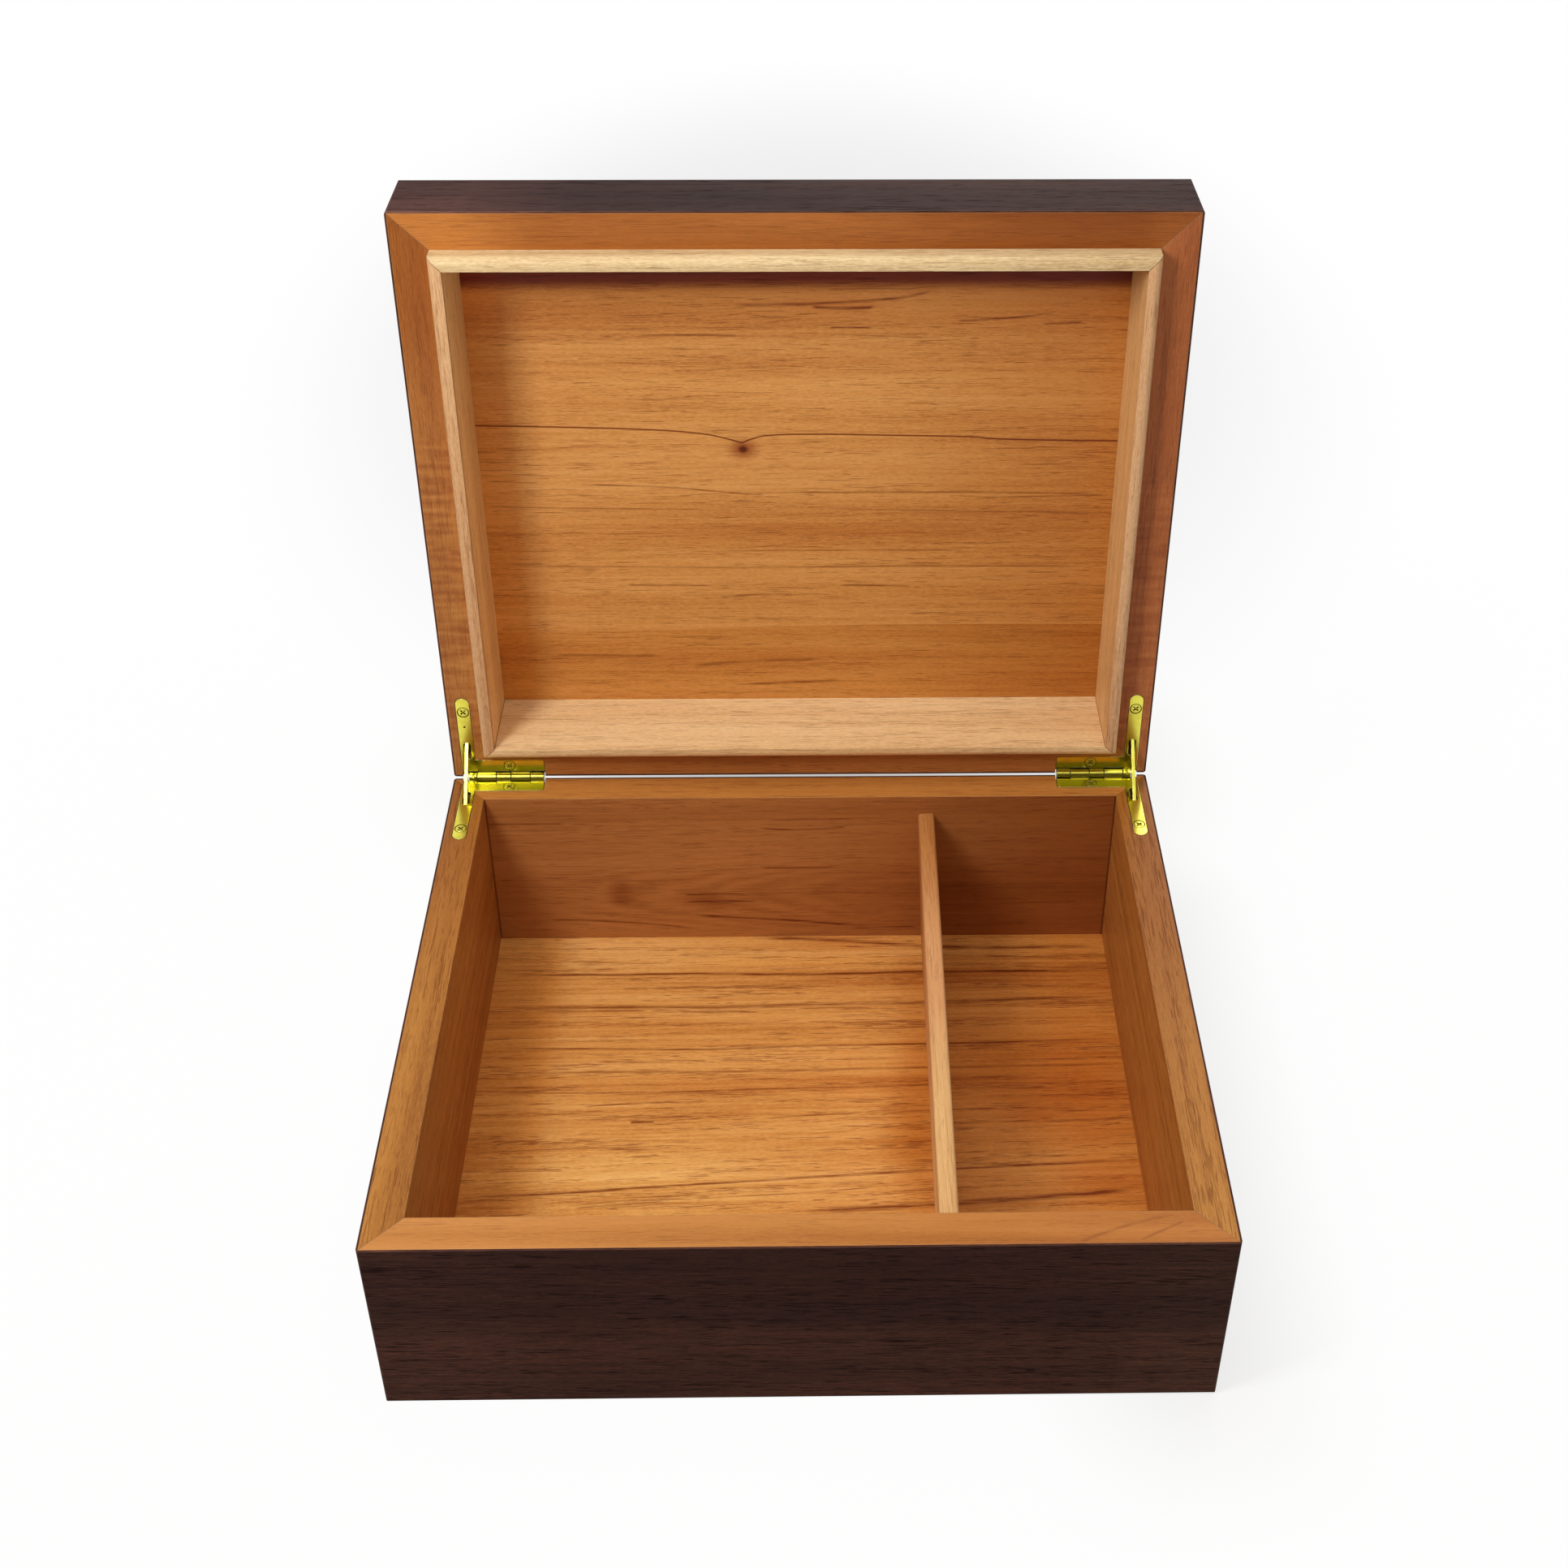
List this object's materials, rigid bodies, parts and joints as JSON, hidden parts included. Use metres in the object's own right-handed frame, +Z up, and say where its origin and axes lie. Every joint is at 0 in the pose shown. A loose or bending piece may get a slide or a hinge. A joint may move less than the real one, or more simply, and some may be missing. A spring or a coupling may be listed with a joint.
{
  "type": "watch box",
  "caption": "Rectangular wooden box for watches and jewellery: hinged lid on brass corner quadrant hinges with stays, one divider and pale lip inside the lid.",
  "frame": {"origin": "middle of the underside of the base", "axes": "+X to the right of someone facing the box, +Y towards the hinges, +Z up"},
  "size_m": [0.25, 0.2486, 0.2834],
  "materials": {
    "walnut_skin": "satin dark walnut veneer",
    "board": "satin clear finish on red-brown boards",
    "rail": "satin clear finish on red-brown rails",
    "panel": "satin clear finish, straight dark-lined grain",
    "divider": "satin clear finish on light wood",
    "lip": "satin clear finish on pale wood",
    "brass": "polished yellow brass"
  },
  "bodies": {
    "base": {"base_front_wall": "board", "base_front_skin": "walnut_skin", "base_back_wall": "board", "base_back_skin": "walnut_skin", "base_left_wall": "board", "base_left_skin": "walnut_skin", "base_right_wall": "board", "base_right_skin": "walnut_skin", "floor_panel": "panel", "divider": "divider", "left_base_leaf": "brass", "left_pin": "brass", "right_base_leaf": "brass", "right_pin": "brass", "base_hinge_screws": "brass"},
    "lid": {"lid_front_rail": "rail", "lid_front_skin": "walnut_skin", "lip_front": "lip", "lid_back_rail": "rail", "lid_back_skin": "walnut_skin", "lip_back": "lip", "lid_left_rail": "rail", "lid_left_skin": "walnut_skin", "lip_left": "lip", "lid_right_rail": "rail", "lid_right_skin": "walnut_skin", "lip_right": "lip", "lid_panel": "panel", "lid_top_skin": "walnut_skin", "left_lid_leaf": "brass", "right_lid_leaf": "brass", "lid_hinge_screws": "brass"},
    "stay_left": {"left_stay": "brass"},
    "stay_right": {"right_stay": "brass"}
  },
  "joints": [
    {"name": "lid_hinge", "type": "hinge", "parent": "base", "child": "lid", "pos_m": [0, 0.1069, 0.07015], "axis": [1, 0, 0], "range_deg": [0, 92]},
    {"name": "stay_left_turn", "type": "hinge", "parent": "base", "child": "stay_left", "pos_m": [0, 0.1069, 0.07015], "axis": [1, 0, 0], "range_deg": [0, 46]},
    {"name": "stay_right_turn", "type": "hinge", "parent": "base", "child": "stay_right", "pos_m": [0, 0.1069, 0.07015], "axis": [1, 0, 0], "range_deg": [0, 46]}
  ],
  "couplings": [
    {"joint": "stay_left_turn", "follows": "lid_hinge", "ratio": 0.5},
    {"joint": "stay_right_turn", "follows": "lid_hinge", "ratio": 0.5}
  ]
}
